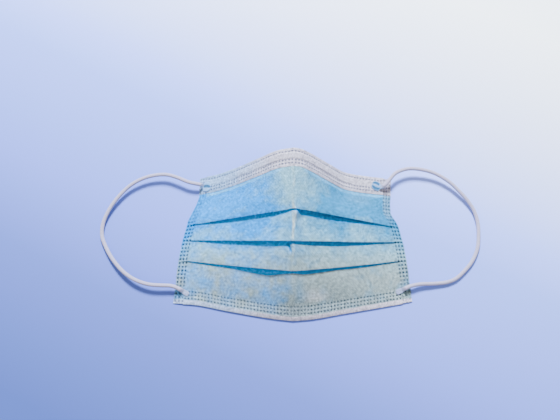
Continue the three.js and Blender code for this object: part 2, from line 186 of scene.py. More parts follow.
# The flattened, welded ends: middle of the flat, its direction in degrees, half its length and half its
# width, and the weld bars on it as (aside, from, to), all shares of half the width and of the flat
loop_ends = {
    "ear_loop_end_nose_left": ((-0.0645, 0.0418), -3, 2.8 * MM, 3.8 * MM, ((0.08, -0.02, 0.98),)),
    "ear_loop_end_chin_left": ((-0.0779, -0.0389), -31, 2.2 * MM, 1.8 * MM, ()),
    "ear_loop_end_nose_right": (
        (0.0632, 0.0428), 160, 3.1 * MM, 3.4 * MM, ((-0.6, 0.05, 0.95), (0.6, -0.1, 0.92))),
    "ear_loop_end_chin_right": ((0.0777, -0.0377), 207, 2.4 * MM, 1.9 * MM, ()),
}

# Share of the half width at shares of the side edge, nose corner first
left_edge = [(0, 0.809), (0.14, 0.812), (0.37, 0.905), (0.66, 0.969), (1, 1)]
right_edge = [(0, 0.868), (0.27, 0.851), (0.4, 0.915), (0.66, 0.968), (1, 1)]

# Share of the fall from the crease to the side, at shares of the half width
left_nose = [(0, 0), (0.13, 0.065), (0.35, 0.34), (0.6, 0.665), (0.85, 0.925), (1, 1)]
right_nose = [(0, 0), (0.06, 0.023), (0.14, 0.125), (0.34, 0.475), (0.53, 0.78), (0.72, 0.9), (1, 1)]
left_chin = [(0, 0), (0.14, 0.1), (0.55, 0.57), (0.83, 0.93), (1, 1)]
right_chin = [(0, 0), (0.14, 0.07), (0.41, 0.36), (0.69, 0.66), (1, 1)]

# The three pleat lips: shares of the side edge, of the crease and of the peak height, then the cloth's
# slope where it arrives at the lip and where it leaves the tuck
lips = [dict(zip(("side", "ridge", "peak", "slope_in", "slope_out"), row)) for row in (
    (0.383, 0.361, 0.837, 0.3, 0.05),
    (0.508, 0.549, 0.705, 0.15, 0.1),
    (0.663, 0.722, 0.512, 0.3, 0.2),
)]
# Millimetres that each pleat stands open, left and right, at shares of the half width
openings = [
    ([(0, 0), (0.08, 0.8), (0.195, 1.8), (0.35, 1.85), (0.565, 1.65), (0.72, 0.9), (0.88, 0), (1, 0)],
     [(0, 0), (0.03, 0.3), (0.08, 2.0), (0.18, 2.2), (0.39, 2.4), (0.55, 1.6), (0.72, 0.8), (0.88, 0),
      (1, 0)]),
    ([(0, 0.3), (0.05, 1.5), (0.195, 2.0), (0.35, 1.8), (0.565, 1.2), (0.74, 0.6), (0.88, 0), (1, 0)],
     [(0, 0.3), (0.125, 1.0), (0.285, 1.5), (0.445, 1.2), (0.605, 0.8), (0.78, 0.2), (1, 0)]),
    ([(0, 0), (0.06, 0.5), (0.14, 1.5), (0.22, 2.4), (0.36, 1.6), (0.565, 0.3), (0.74, 0), (1, 0)],
     [(0, 0), (0.03, 0.2), (0.105, 1.0), (0.235, 0.7), (0.39, 0.15), (0.605, 0.1), (0.78, 0), (1, 0)]),
]
# Millimetres that each lip dips towards the chin, left and right, at shares of the half width
dips = [
    ([(0, 0), (0.12, 0.65), (0.35, 1.1), (0.82, 1.2), (1, 0.3)],
     [(0, 0), (0.2, 0.6), (0.4, 1.25), (0.8, 1.95), (1, 2.2)]),
    ([(0, 0.3), (0.4, 0.25), (1, 0)], [(0, 0.3), (0.3, 0.75), (0.5, 1.25), (1, 1.4)]),
    ([(0, 0), (1, 0)], [(0, 0), (0.4, 0.3), (1, 0.6)]),
]
band_share = 0.985
band_slope = 0.1
chin_share = 0.028
chin_slope = 0.75
crease_share = 0.02
sag_share = 0.23

# How deep a pleat tucks in, at shares of the half width
tuck = [(0, 0.73), (0.4, 0.78), (0.7, 0.92), (0.9, 1), (1, 1)]


def mix(a, b, t):
    return a + (b - a) * t


def smooth(low, high, value):
    """A soft step from 0 at low to 1 at high."""
    t = np.clip((value - low) / (high - low), 0, 1)
    return t * t * (3 - 2 * t)


def curve(table, at):
    """Monotone cubic through a short table of (share, value) pairs."""
    share, value = np.array(table, float).T
    width = np.diff(share)
    step = np.diff(value) / width
    before, after = step[:-1], step[1:]
    same_way = before * after > 0
    total = np.where(same_way, before + after, 1)
    inner = np.where(same_way, 2 * before * after / total, 0)
    slope = np.concatenate([step[:1], inner, step[-1:]])
    k = np.clip(np.searchsorted(share, at) - 1, 0, len(share) - 2)
    t = np.clip((at - share[k]) / width[k], 0, 1)
    level = (2 * t**3 - 3 * t**2 + 1) * value[k] + (3 * t**2 - 2 * t**3) * value[k + 1]
    return level + width[k] * ((t**3 - 2 * t**2 + t) * slope[k] + (t**3 - t**2) * slope[k + 1])


def by_side(u, pair):
    return np.where(u < 0, pair[0], pair[1])


def by_share(u, left, right):
    """The left or the right table, read at the share of the half width."""
    return by_side(u, (curve(left, abs(u)), curve(right, abs(u))))


def lip_fall(share):
    s = (np.hypot(share, crease_share) - crease_share) / (math.hypot(1, crease_share) - crease_share)
    return mix(s, s * s, sag_share)


def nose_row(u):
    fall = by_share(u, left_nose, right_nose)
    return ridge_top - by_side(u, side_set) * fall, mix(peak_height, band_half + table_lift, fall)


def band_row(u):
    y, z = nose_row(u)
    return y - band_width, z * band_share


def lip_row(u, lip):
    fall = lip_fall(abs(u))
    dip = by_share(u, *dips[lips.index(lip)]) * MM
    side_y = ridge_top - by_side(u, side_set) - lip["side"] * by_side(u, side_length)
    rim_height = closed_drop + cloth / 2 + table_lift
    y = mix(ridge_top - lip["ridge"] * ridge_length, side_y, fall) - dip
    return y, mix(lip["peak"] * peak_height, rim_height, fall)


def chin_row(u):
    fall = by_share(u, left_chin, right_chin)
    side_y = ridge_top - by_side(u, side_set) - by_side(u, side_length)
    return mix(-ridge_top, side_y, fall), mix(chin_share * peak_height, hem_rise + table_lift, fall)


def across(u, y):
    nose, chin = nose_row(u)[0], chin_row(u)[0]
    share = np.clip((nose - y) / (nose - chin), 0, 1)
    return u * foot_half_width * by_side(u, (curve(left_edge, share), curve(right_edge, share)))


def place(u, y, z):
    """Points of the mask as an array ending in x, y, z."""
    return np.stack([across(u, y), y + 0 * u, z + 0 * u], axis=-1)


def seam_column(inside):
    return 1 - (seam_width + inside) / foot_half_width


def spread(low, high, step):
    return np.linspace(low, high, max(2, round((high - low) / step) + 1))


def sweep(start, start_slope, end, end_slope, t):
    """Points on a cubic z(y) between two points with given slopes, at shares t of the way in y."""
    width = end[0] - start[0]
    rise = mix(start[1], end[1], 3 * t**2 - 2 * t**3)
    lean = (t**3 - 2 * t**2 + t) * start_slope + (t**3 - t**2) * end_slope
    return start[0] + width * t, rise + width * lean


def pleat(u, lip, last=None):
    """One pleat at every column: round the lip, down the riser, round the tuck and out below.

    The tuck sinks with the panel above, which begins where the last fold ended, wherever it falls away."""
    share = abs(u)
    y, z = lip_row(u, lip)
    up = 1 - lip_fall(share)
    slope_in = lip["slope_in"] * up
    slope_out = lip["slope_out"] * up
    drop = closed_drop + by_share(u, *openings[lips.index(lip)]) * MM
    depth = pleat_depth * curve(tuck, share)
    front = (y + turn_radius, z - turn_radius)
    lip_angle = math.pi / 2 + np.arctan(slope_in)
    start = (front[0] + turn_radius * np.cos(lip_angle), front[1] + turn_radius * np.sin(lip_angle))
    sink = 0.0
    if last is not None:
        tip = np.clip((y + depth - last["end"][0]) / (start[0] - last["end"][0]), 0, 1)
        above_y, above_z = sweep(last["end"], last["slope_out"], start, slope_in, tip)
        sink = np.minimum(0, above_z - start[1] - slope_in * (above_y - start[0]))
    back = (y + depth - turn_radius, z - drop + turn_radius + sink)
    under = (y - clearance, z - drop - slope_out * depth)

    def turn(centre, begin, stop):
        angle = mix(begin, stop, np.linspace(0, 1, turn_points)[:, None])
        return centre[0] + turn_radius * np.cos(angle), centre[1] + turn_radius * np.sin(angle)

    dy, dz = back[0] - front[0], back[1] - front[1]
    bottom = np.arctan2(dz, dy) - np.arccos(np.clip(2 * turn_radius / np.hypot(dy, dz), -1, 1)) + math.tau
    dy, dz = back[0] - under[0], back[1] - under[1]
    top = np.arctan2(dz, dy) - np.arcsin(np.clip(turn_radius / np.hypot(dy, dz), -1, 1))
    lip_turn = turn(front, lip_angle, bottom)
    tuck_turn = turn(back, bottom - math.pi, top - math.pi / 2)
    out = (tuck_turn[0][-1], tuck_turn[1][-1])

    def run(a, b, count):
        t = np.linspace(0, 1, count + 2)[1:-1, None]
        return mix(a[0], b[0], t), mix(a[1], b[1], t)

    riser = run((lip_turn[0][-1], lip_turn[1][-1]), (tuck_turn[0][0], tuck_turn[1][0]), riser_points)
    leaving = run(out, under, leaving_points)
    stretches = [lip_turn, riser, tuck_turn, leaving, (under[0][None], under[1][None])]
    return {
        "y": np.concatenate([s[0] for s in stretches]),
        "z": np.concatenate([s[1] for s in stretches]),
        "start": start,
        "shade": (drop + cloth / 2) * (1 - shade_narrowing * smooth(*shade_narrows, share)),
        "end": under,
        "slope_in": slope_in,
        "slope_out": slope_out,
        "rows": [len(s[0]) for s in stretches],
    }


def hem_top(u):
    y, z = chin_row(u)
    return (y + clearance, z + chin_slope * (1 - lip_fall(abs(u))) * clearance)


def last_panel(u, y):
    """Height of the lowest panel at y, from under the third lip down to the chin edge."""
    fold = pleat(u, lips[-1])
    end = hem_top(u)
    t = np.clip((y - fold["end"][0]) / (end[0] - fold["end"][0]), 0, 1)
    return sweep(fold["end"], fold["slope_out"], end, chin_slope * (1 - lip_fall(abs(u))), t)[1]


# Small forms pressed or crumpled into the cloth: x, y, radius along x and y, height, all in millimetres
dents = [
    (2.4, 13.4, 1.6, 3.2, 1.8),
    (5.4, 10.2, 2.0, 2.8, -1.5),
    (-30, 24, 12, 6, 0.5),
    (34, 27, 9, 7, -0.6),
    (-46, -30, 14, 8, 0.5),
    (40, -34, 12, 9, 0.45),
]
# The hooked crease below the second lip: start, end, half width, depth
hook_crease = ((-3.9 * MM, -6.6 * MM), (-1.0 * MM, -13.6 * MM), 1.15 * MM, 1.3 * MM)

# Places with painted shade beside the crease (the last one a darker tone at the upper right) or a painted
# highlight: x, y, radius along x and y in millimetres, strength
shade_and_tone_places = [
    (4.7, 2.5, 2.0, 7.0, 0.68),
    (4.6, -38.5, 3.2, 10, 0.46),
    (9.5, -41.5, 6, 2.6, 0.42),
    (50, 31, 10, 4.5, 0.4),
]
highlight_places = [(16, -42.5, 8, 4.5, 0.55), (1.6, 11.5, 0.9, 4.0, 0.5)]


def mounds(places, x, y):
    """Sum of soft round places at each point."""
    total = 0 * x
    for *place_mm, strength in places:
        cx, cy, rx, ry = np.array(place_mm) * MM
        total = total + strength * np.exp(-(((x - cx) / rx) ** 2) - ((y - cy) / ry) ** 2)
    return total


def in_crease(x, y):
    """How deep in the hooked crease each point lies, from 0 beside it to 1 along its middle."""
    (ax, ay), (bx, by), width, _ = hook_crease
    length = math.hypot(bx - ax, by - ay)
    ux, uy = (bx - ax) / length, (by - ay) / length
    along = ((x - ax) * ux + (y - ay) * uy) / length
    aside = (x - ax) * uy - (y - ay) * ux
    narrowing = width * (1.15 - 0.6 * np.clip(along, 0, 1))
    return np.exp(-((aside / narrowing) ** 2)) * smooth(-0.15, 0.1, along) * (1 - smooth(0.75, 1.1, along))


def crumple(points):
    """Lift or lower every layer alike, so that folded layers stay apart."""
    out = points.copy()
    flat = out.reshape(-1, 3)
    x, y = flat[:, 0], flat[:, 1]
    lift = mounds(dents, x, y) * MM - hook_crease[3] * in_crease(x, y)
    for height, waves_x, waves_y, seed in wrinkles:
        lift += height * np.array([
            noise.noise(Vector((px * waves_x, py * waves_y, seed))) for px, py in zip(x, y)])
    pinch = pinch_height * np.exp(-((x / pinch_width) ** 2))
    flat[:, 2] += (lift + pinch) * smooth(0, calm_height, flat[:, 2])
    return out


def unit(vectors):
    return vectors / np.maximum(np.linalg.norm(vectors, axis=-1, keepdims=True), 1e-12)


def faces_of(grid):
    """Both faces of the cloth round its middle, a grid with rows down the mask and columns across it."""
    out = unit(np.cross(np.gradient(grid, axis=0), np.gradient(grid, axis=1))) * cloth / 2
    return grid + out, grid - out


def running(points):
    """Distance along a line of points from the first of them to each."""
    return np.concatenate([[0], np.linalg.norm(np.diff(points, axis=0), axis=1).cumsum()])


def add_object(name, data):
    made = bpy.data.objects.new(name, data)
    bpy.context.scene.collection.objects.link(made)
    return made


def aim_at(thing, place, aim):
    thing.location = place
    thing.rotation_euler = (Vector(aim) - Vector(place)).to_track_quat("-Z", "Y").to_euler()


def slab(name, top, bottom, uv, marks):
    """A closed sheet between two equal grids of points. marks are values for each point of the grid."""
    rows, cols = top.shape[:2]
    marks = {"below": np.full((rows, cols), far_below), "press": np.ones((rows, cols)), **marks}
    count = rows * cols
    index = np.arange(count).reshape(rows, cols)
    a, b, c, d = index[:-1, :-1], index[1:, :-1], index[1:, 1:], index[:-1, 1:]
    upper = np.stack([a, b, c, d], -1).reshape(-1, 4)
    lower = np.stack([d, c, b, a], -1).reshape(-1, 4) + count
    border = np.concatenate([index[0, :-1], index[:-1, -1], index[-1, :0:-1], index[:0:-1, 0]])
    ahead = np.roll(border, -1)
    rim = np.stack([border, ahead, ahead + count, border + count], -1)
    faces = np.concatenate([upper, lower, rim])
    mesh = bpy.data.meshes.new(name)
    points = np.concatenate([top.reshape(-1, 3), bottom.reshape(-1, 3)])
    mesh.from_pydata(points.tolist(), [], faces.tolist())
    mesh.polygons.foreach_set("use_smooth", np.ones(len(faces), bool))
    inner_side = np.zeros(len(faces), np.int32)
    inner_side[len(upper):] = 1
    mesh.polygons.foreach_set("material_index", inner_side)
    if uv is not None:
        doubled = np.concatenate([uv.reshape(-1, 2)] * 2)
        layer = mesh.uv_layers.new(name="cloth")
        layer.data.foreach_set("uv", doubled[faces.reshape(-1)].astype(np.float32).reshape(-1))
    for key, values in marks.items():
        mark = mesh.attributes.new(key, "FLOAT", "POINT")
        mark.data.foreach_set("value", np.concatenate([values.reshape(-1)] * 2).astype(np.float32))
    mesh.set_sharp_from_angle(angle=math.radians(sharp_angle))
    return add_object(name, mesh)


def turned_slab(name, way, top, bottom, uv, marks):
    """A slab whose columns run the other way where way is -1, so that its faces look outwards."""
    marks = {key: values[:, ::way] for key, values in marks.items()}
    return slab(name, top[:, ::way], bottom[:, ::way], uv[:, ::way], marks)


def dress(piece, node):
    """Put a piece on its body, in the place of a CAD node."""
    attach(piece, "root")
    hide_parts(node)


# Node helpers
def feed(node, inputs):
    """Link the sockets to a node's inputs and write the plain values on them."""
    for key, value in inputs.items():
        if isinstance(value, bpy.types.NodeSocket):
            node.id_data.links.new(value, node.inputs[key])
        else:
            node.inputs[key].default_value = value


def add_node(tree, kind, inputs=None, **settings):
    node = tree.nodes.new(kind)
    for key, value in settings.items():
        setattr(node, key, value)
    feed(node, inputs or {})
    return node


def tree_of(values):
    """The tree of the first socket among numbers, colours and sockets."""
    return next(value.id_data for value in values if isinstance(value, bpy.types.NodeSocket))


def calc(operation, *values):
    inputs = dict(enumerate(values))
    return add_node(tree_of(values), "ShaderNodeMath", inputs, operation=operation).outputs[0]


def times(a, b):
    return calc("MULTIPLY", a, b)


def plus(a, b):
    return calc("ADD", a, b)


def absolute(value):
    return calc("ABSOLUTE", value)


def held(value):
    """A value kept between 0 and 1."""
    return add_node(value.id_data, "ShaderNodeClamp", {0: value}).outputs[0]


def blend(share, a, b):
    """A mix of two colours."""
    inputs = {0: share, 6: a, 7: b}
    return add_node(tree_of(inputs.values()), "ShaderNodeMix", inputs, data_type="RGBA").outputs[2]


def scaled(vector, factor):
    inputs = {0: vector, "Scale": factor}
    return add_node(factor.id_data, "ShaderNodeVectorMath", inputs, operation="SCALE").outputs[0]


def new_tree(name, sizes):
    """An empty Geometry Nodes tree with a geometry input and named sizes."""
    tree = bpy.data.node_groups.new(name, "GeometryNodeTree")
    tree.interface.new_socket("Geometry", in_out="INPUT", socket_type="NodeSocketGeometry")
    for key, value in sizes.items():
        kind = "NodeSocketMaterial" if isinstance(value, bpy.types.Material) else "NodeSocketFloat"
        socket = tree.interface.new_socket(key, in_out="INPUT", socket_type=kind)
        if kind == "NodeSocketFloat":
            socket.default_value = value
    tree.interface.new_socket("Geometry", in_out="OUTPUT", socket_type="NodeSocketGeometry")
    return tree, tree.nodes.new("NodeGroupInput"), tree.nodes.new("NodeGroupOutput")


def push_out(geometry, depth):
    """Every point moved along its normal."""
    tree = geometry.id_data
    push = scaled(add_node(tree, "GeometryNodeInputNormal").outputs[0], depth)
    return add_node(tree, "GeometryNodeSetPosition", {"Geometry": geometry, "Offset": push}).outputs[0]


def stored(geometry, name, value):
    """A geometry with a value kept on its points."""
    inputs = {"Geometry": geometry, "Name": name, "Value": value}
    kind = {"data_type": "FLOAT", "domain": "POINT"}
    return add_node(geometry.id_data, "GeometryNodeStoreNamedAttribute", inputs, **kind).outputs[0]


def close_tree(geometry, finish, end):
    tree = geometry.id_data
    real = add_node(tree, "GeometryNodeRealizeInstances", {0: geometry})
    dressed = add_node(tree, "GeometryNodeSetMaterial", {0: real.outputs[0], "Material": finish})
    feed(end, {0: dressed.outputs[0]})


def grow(piece, tree, sizes):
    """Run a Geometry Nodes tree on a piece and keep the result as its plain mesh."""
    modifier = piece.modifiers.new(tree.name, "NODES")
    modifier.node_group = tree
    for item in tree.interface.items_tree:
        if item.in_out == "INPUT" and item.name in sizes:
            modifier[item.identifier] = sizes[item.name]
    bpy.context.view_layer.update()
    evaluated = piece.evaluated_get(bpy.context.evaluated_depsgraph_get())
    mesh = bpy.data.meshes.new_from_object(evaluated)
    mesh.name = piece.name
    if piece.type == "MESH":
        piece.modifiers.remove(modifier)
        piece.data = mesh
        return piece
    name = piece.name
    bpy.data.objects.remove(piece)
    return add_object(name, mesh)


# Materials
def rgb(red, green, blue):
    """A colour from sRGB values of 0 to 255."""
    def linear(c):
        c /= 255
        return c / 12.92 if c <= 0.04045 else ((c + 0.055) / 1.055) ** 2.4
    return (linear(red), linear(green), linear(blue), 1.0)


def attribute(tree, name):
    return add_node(tree, "ShaderNodeAttribute", attribute_name=name).outputs["Fac"]


def new_material(name):
    """A material with its tree, its shader and the place in it of each point of the object."""
    material = bpy.data.materials.new(name)
    material.use_nodes = True
    tree = material.node_tree
    where = tree.nodes.new("ShaderNodeTexCoord").outputs["Object"]
    return material, tree, tree.nodes["Principled BSDF"], where


def ramp(value, low, high, out_low=0.0, out_high=1.0, soft=False):
    """A value carried from one range to another, held at its ends."""
    inputs = {0: value, 1: low, 2: high, 3: out_low, 4: out_high}
    kind = "SMOOTHSTEP" if soft else "LINEAR"
    return add_node(value.id_data, "ShaderNodeMapRange", inputs, interpolation_type=kind).outputs[0]


def clouds(where, scale, detail, distortion=0.0):
    inputs = {"Vector": where, "Scale": scale, "Detail": detail, "Distortion": distortion}
    return add_node(where.id_data, "ShaderNodeTexNoise", inputs).outputs["Fac"]


def bumped(height, strength, depth):
    inputs = {"Height": height, "Strength": strength, "Distance": depth}
    return add_node(height.id_data, "ShaderNodeBump", inputs).outputs[0]


def nonwoven(name, shades, all_white=False):
    """Spunbond nonwoven: cloudy colour, laid fibres, a lattice of bond points, pressed weld dots."""
    material, tree, shader, where = new_material(name)
    cloth_uv = tree.nodes.new("ShaderNodeTexCoord").outputs["UV"]
    split = add_node(tree, "ShaderNodeSeparateXYZ", {0: where})
    x, y = split.outputs[0], split.outputs[1]

    def read(mark):
        return attribute(tree, mark)

    # Bluer at the left and the nose, greyer along the crease and towards the chin; the darker blue of the
    # right half and the darker grey towards the chin are partly painted shade
    rightward = ramp(x, -0.025, 0.02, soft=True)
    sky = blend(rightward, *shades["sky"])
    cloud = blend(ramp(y, 0.004, -0.03, soft=True), *shades["cloud"])
    lower = plus(ramp(y, 0.026, -0.02, 0.04, 0.24), ramp(y, 0.004, -0.014, 0.0, 0.48))
    blue_corners = times(ramp(absolute(x), 0.02, 0.045, 0.0, -0.22), ramp(y, 0.0, 0.022))
    ridge = times(ramp(absolute(x), 0.024, 0.002, soft=True), ramp(y, -0.01, 0.03, 0.15, 0.95))
    patches = plus(ramp(clouds(where, 38.0, 4.0), 0.32, 0.68, -0.34, 0.34),
                   ramp(clouds(where, 150.0, 4.0), 0.3, 0.7, -0.2, 0.2))
    right_side = times(ramp(x, -0.005, 0.02, 0.0, 0.2), ramp(y, 0.018, 0.008))
    patches = plus(plus(patches, blue_corners), right_side)
    greyness = plus(patches, plus(lower, ridge))
    colour = blend(held(greyness), sky, cloud)
    # Painted highlight along the centre crease, uneven and strongest on the second panel
    wander = plus(x, ramp(clouds(where, 70.0, 2.0), 0.2, 0.8, -0.0012, 0.0012))
    fold_line = ramp(absolute(wander), 0.0016, 0.0002, 0.0, 1.0, soft=True)
    ridge_highlight_strength = ramp(clouds(where, 95.0, 2.0, 0.6), 0.38, 0.62, 0.15, 0.7)
    ridge_highlight_strength = times(ridge_highlight_strength, times(ramp(y, -0.03, -0.002, 0.12, 1.0, soft=True), ramp(y, 0.03, 0.014, 0.45, 1.1)))
    # Painted shade: a deep saturated blue over each pleat's riser and tuck and the strip under each lip,
    # darker at the right
    shaded = calc("MAXIMUM", read("deep"), ramp(read("below"), 1.08, 0.92))
    whiteness = 1.0 if all_white else read("white")
    tinted = ramp(plus(x, times(clouds(where, 90.0, 4.0), 0.03)), -0.002, -0.036, 0.1, 0.8)
    tinted = times(tinted, ramp(y, -0.03, 0.0, 0.7, 1.0))
    for share, coat in (
        (times(fold_line, ridge_highlight_strength), shades["crease"]),
        # Painted shade beside the crease and a darker tone, then painted highlights
        (read("dusky"), shades["dusky"]),
        (read("bleached"), shades["bleached"]),
        (shaded, blend(rightward, *shades["deep"])),
        # Painted shade in the hooked crease
        (read("pit"), shades["pit"]),
        # The edge mark paints a highlight along the pleat lips, and the paler strip just under the nose
        # band
        (times(read("edge"), 0.55), shades["pale"]),
        # Painted light on the middle of the hem and the upper right seam
        (read("paler"), shades["pale_hem"]),
        (whiteness, blend(tinted, *shades["white"])),
        (read("weld"), shades["weld"][1] if all_white else blend(whiteness, *shades["weld"])),
    ):
        colour = blend(share, colour, coat)

    def mapped(turned, scale):
        inputs = {"Vector": cloth_uv, "Scale": scale, "Rotation": (0.0, 0.0, math.radians(turned))}
        return add_node(tree, "ShaderNodeMapping", inputs).outputs[0]

    # Fibres laid mostly along the cloth, in two stretched noises
    def laid(turned, scale, stretch):
        return clouds(mapped(turned, (scale, scale * stretch, scale)), 1.0, 3.0)

    fibres = times(plus(laid(28, 1500, 0.14), laid(-47, 1100, 0.2)), 0.5)
    lattice = mapped(38, (1000.0, 640.0, 1.0))
    bonds = add_node(tree, "ShaderNodeTexVoronoi", {"Vector": lattice, "Scale": 1.0, "Randomness": 0.15})
    pressed = ramp(bonds.outputs["Distance"], 0.2, 0.45)
    height = plus(times(fibres, 0.8), times(pressed, 0.4))
    grain = times(ramp(clouds(where, 680.0, 2.0), 0.3, 0.7, 0.69, 1.31),
                 ramp(clouds(where, 1400.0, 1.0), 0.3, 0.7, 0.66, 1.34))
    mottle = times(grain, ramp(clouds(where, 290.0, 2.0), 0.3, 0.7, 0.91, 1.09))
    tone = times(ramp(height, 0.35, 1.0, 0.64, 1.34), mottle)
    feed(shader, {
        "Base Color": scaled(colour, tone), "Normal": bumped(height, 0.5, 0.00018),
        "Roughness": ramp(read("weld"), 0.0, 1.0, 0.88, 0.42), "Specular IOR Level": 0.06,
        "Sheen Weight": 0.05, "Sheen Tint": (0.2, 0.55, 1.0, 1.0),
    })
    return material


def knitted(name, light, shade, tinted, weld):
    """Soft knitted elastic with painted shade between the ribs, so paler on the ribs than between them;
    tinted and darker where it is welded.
    """
    material, tree, shader, where = new_material(name)
    share = plus(times(attribute(tree, "groove"), 0.7), times(clouds(where, 120.0, 2.0), 0.25))
    colour = blend(share, light, shade)
    welded = attribute(tree, "weld")
    colour = blend(ramp(welded, 0.0, 0.5), colour, tinted)
    colour = blend(ramp(welded, 0.5, 0.9), colour, weld)
    feed(shader, {
        "Base Color": colour, "Normal": bumped(clouds(where, 2600.0, 3.0), 0.6, 0.00012),
        "Roughness": 0.9, "Sheen Weight": 0.3, "Subsurface Weight": 0.1, "Subsurface Scale": 0.0006,
    })
    return material


def coated_wire(name):
    material, tree, shader, where = new_material(name)
    scuffs = clouds(where, 900.0, 4.0)
    colour = blend(scuffs, rgb(222, 222, 226), rgb(196, 198, 204))
    feed(shader, {"Base Color": colour, "Roughness": ramp(scuffs, 0.0, 1.0, 0.35, 0.55)})
    return material


def table_top(name, stops):
    """A plain top with painted light, paler towards the back and the right, as the lit backdrop is."""
    material, tree, shader, where = new_material(name)
    split = add_node(tree, "ShaderNodeSeparateXYZ", {0: where})
    along = plus(times(split.outputs[0], 0.95), times(split.outputs[1], 1.8))
    colour = stops[0][1]
    for (low, _), (high, paler) in zip(stops, stops[1:]):
        colour = blend(ramp(along, low, high), colour, paler)
    feed(shader, {"Base Color": colour, "Roughness": 0.75, "Specular IOR Level": 0.1})
    return material


# The crease, deep and pale_hem colours are a painted highlight, painted shade and painted light, and pale
# is partly a painted highlight on the lip edges
shades = {
    "sky": (rgb(3, 122, 192), rgb(36, 112, 151)),
    "cloud": (rgb(112, 156, 171), rgb(120, 134, 133)),
    "crease": rgb(176, 182, 168),
    "deep": (rgb(30, 139, 204), rgb(30, 122, 179)),
    "pit": rgb(14, 110, 166),
    "pale": rgb(89, 162, 206),
    "pale_hem": rgb(170, 190, 196),
    "dusky": rgb(84, 128, 156),
    "bleached": rgb(172, 172, 170),
    "white": (rgb(172, 163, 171), rgb(105, 147, 186)),
    "weld": (rgb(2, 24, 44), rgb(26, 38, 72)),
}
blue_face = nonwoven("blue_nonwoven", shades)
white_face = nonwoven("white_nonwoven", shades, all_white=True)
elastic = knitted(
    "knitted_elastic", rgb(177, 168, 188), rgb(124, 118, 144), rgb(97, 155, 203), rgb(7, 77, 115))
wire_coat = coated_wire("coated_wire")

# Camera at the photo's angle
camera_data = bpy.data.cameras.new("camera")
camera_data.lens = 45
camera_data.sensor_width = 36
camera = add_object("camera", camera_data)
aim_at(camera, (-0.0093, -0.117, 0.5117), (-0.0093, 0.0249, 0.0))
bpy.context.scene.camera = camera


# Ear loops: a knitted tube along each route
def loop_line(points):
    """The route as a smooth run of closely spaced points, centripetal through the chosen ones."""
    p = np.array([2 * points[0] - points[1], *points, 2 * points[-1] - points[-2]])
    line = []
    for i in range(1, len(p) - 2):
        a, b, c, d = p[i - 1:i + 3]
        t1 = np.linalg.norm(b - a) ** 0.5
        t2 = t1 + np.linalg.norm(c - b) ** 0.5
        t3 = t2 + np.linalg.norm(d - c) ** 0.5
        for t in np.linspace(t1, t2, route_points)[:-1]:
            ab, bc, cd = mix(a, b, t / t1), mix(b, c, (t - t1) / (t2 - t1)), mix(c, d, (t - t2) / (t3 - t2))
            abc, bcd = mix(ab, bc, t / t2), mix(bc, cd, (t - t1) / (t3 - t1))
            line.append(mix(abc, bcd, (t - t1) / (t2 - t1)))
    line.append(p[-2])
    return np.array(line)


def knit_tree():
    """A tube along a curve, its wall pressed into rows of small leaning stitches."""
    sizes = {"Radius": loop_diameter / 2, "Row": knit_row, "Relief": knit_relief, "Step": knit_step,
             "Finish": elastic}
    tree, start, end = new_tree("knit", sizes)
    steps = {"Curve": start.outputs["Geometry"], "Length": start.outputs["Step"]}
    line = add_node(tree, "GeometryNodeResampleCurve", steps, mode="LENGTH")
    along = add_node(tree, "GeometryNodeCaptureAttribute", {0: line.outputs[0]}, domain="POINT")
    along.capture_items.new("FLOAT", "along")
    feed(along, {1: add_node(tree, "GeometryNodeSplineParameter").outputs["Length"]})
    around = {"Resolution": ring_points, "Radius": start.outputs["Radius"]}
    ring = add_node(tree, "GeometryNodeCurvePrimitiveCircle", around)
    round_it = add_node(tree, "GeometryNodeCaptureAttribute", {0: ring.outputs[0]}, domain="POINT")
    round_it.capture_items.new("FLOAT", "around")
    feed(round_it, {1: add_node(tree, "GeometryNodeSplineParameter").outputs["Factor"]})
    wall = {"Curve": along.outputs[0], "Profile Curve": round_it.outputs[0], "Fill Caps": True}
    tube = add_node(tree, "GeometryNodeCurveToMesh", wall)
    phase = calc("DIVIDE", along.outputs[1], start.outputs["Row"])
    ribs = times(round_it.outputs[1], 7.0)
    zigzag = calc("PINGPONG", ribs, 0.5)
    stitch = calc("SINE", times(plus(phase, zigzag), math.tau))
    valley = calc("POWER", absolute(calc("COSINE", times(ribs, math.pi))), 2.0)
    groove = calc("MULTIPLY_ADD", stitch, -0.35, 0.35)
    groove = plus(groove, times(valley, 0.3))
    depth = times(groove, times(start.outputs["Relief"], -1.0))
    kept = stored(push_out(tube.outputs[0], depth), "groove", groove)
    shaded = add_node(tree, "GeometryNodeSetShadeSmooth", {0: kept})
    close_tree(shaded.outputs[0], start.outputs["Finish"], end)
    return tree, sizes


knit, knit_sizes = knit_tree()


def ear_loop(name, route):
    line = loop_line(np.array(route) / 1000)
    data = bpy.data.curves.new("knitted_" + name, "CURVE")
    data.dimensions = "3D"
    spline = data.splines.new("POLY")
    spline.points.add(len(line) - 1)
    spline.points.foreach_set("co", np.column_stack([line, np.ones(len(line))]).reshape(-1))
    piece = grow(add_object("knitted_" + name, data), knit, knit_sizes)
    dress(piece, name)
    return piece, line, float(running(line)[-1])


routes = {"ear_loop_left": left_loop, "ear_loop_right": right_loop}
loops = {name: ear_loop(name, route) for name, route in routes.items()}


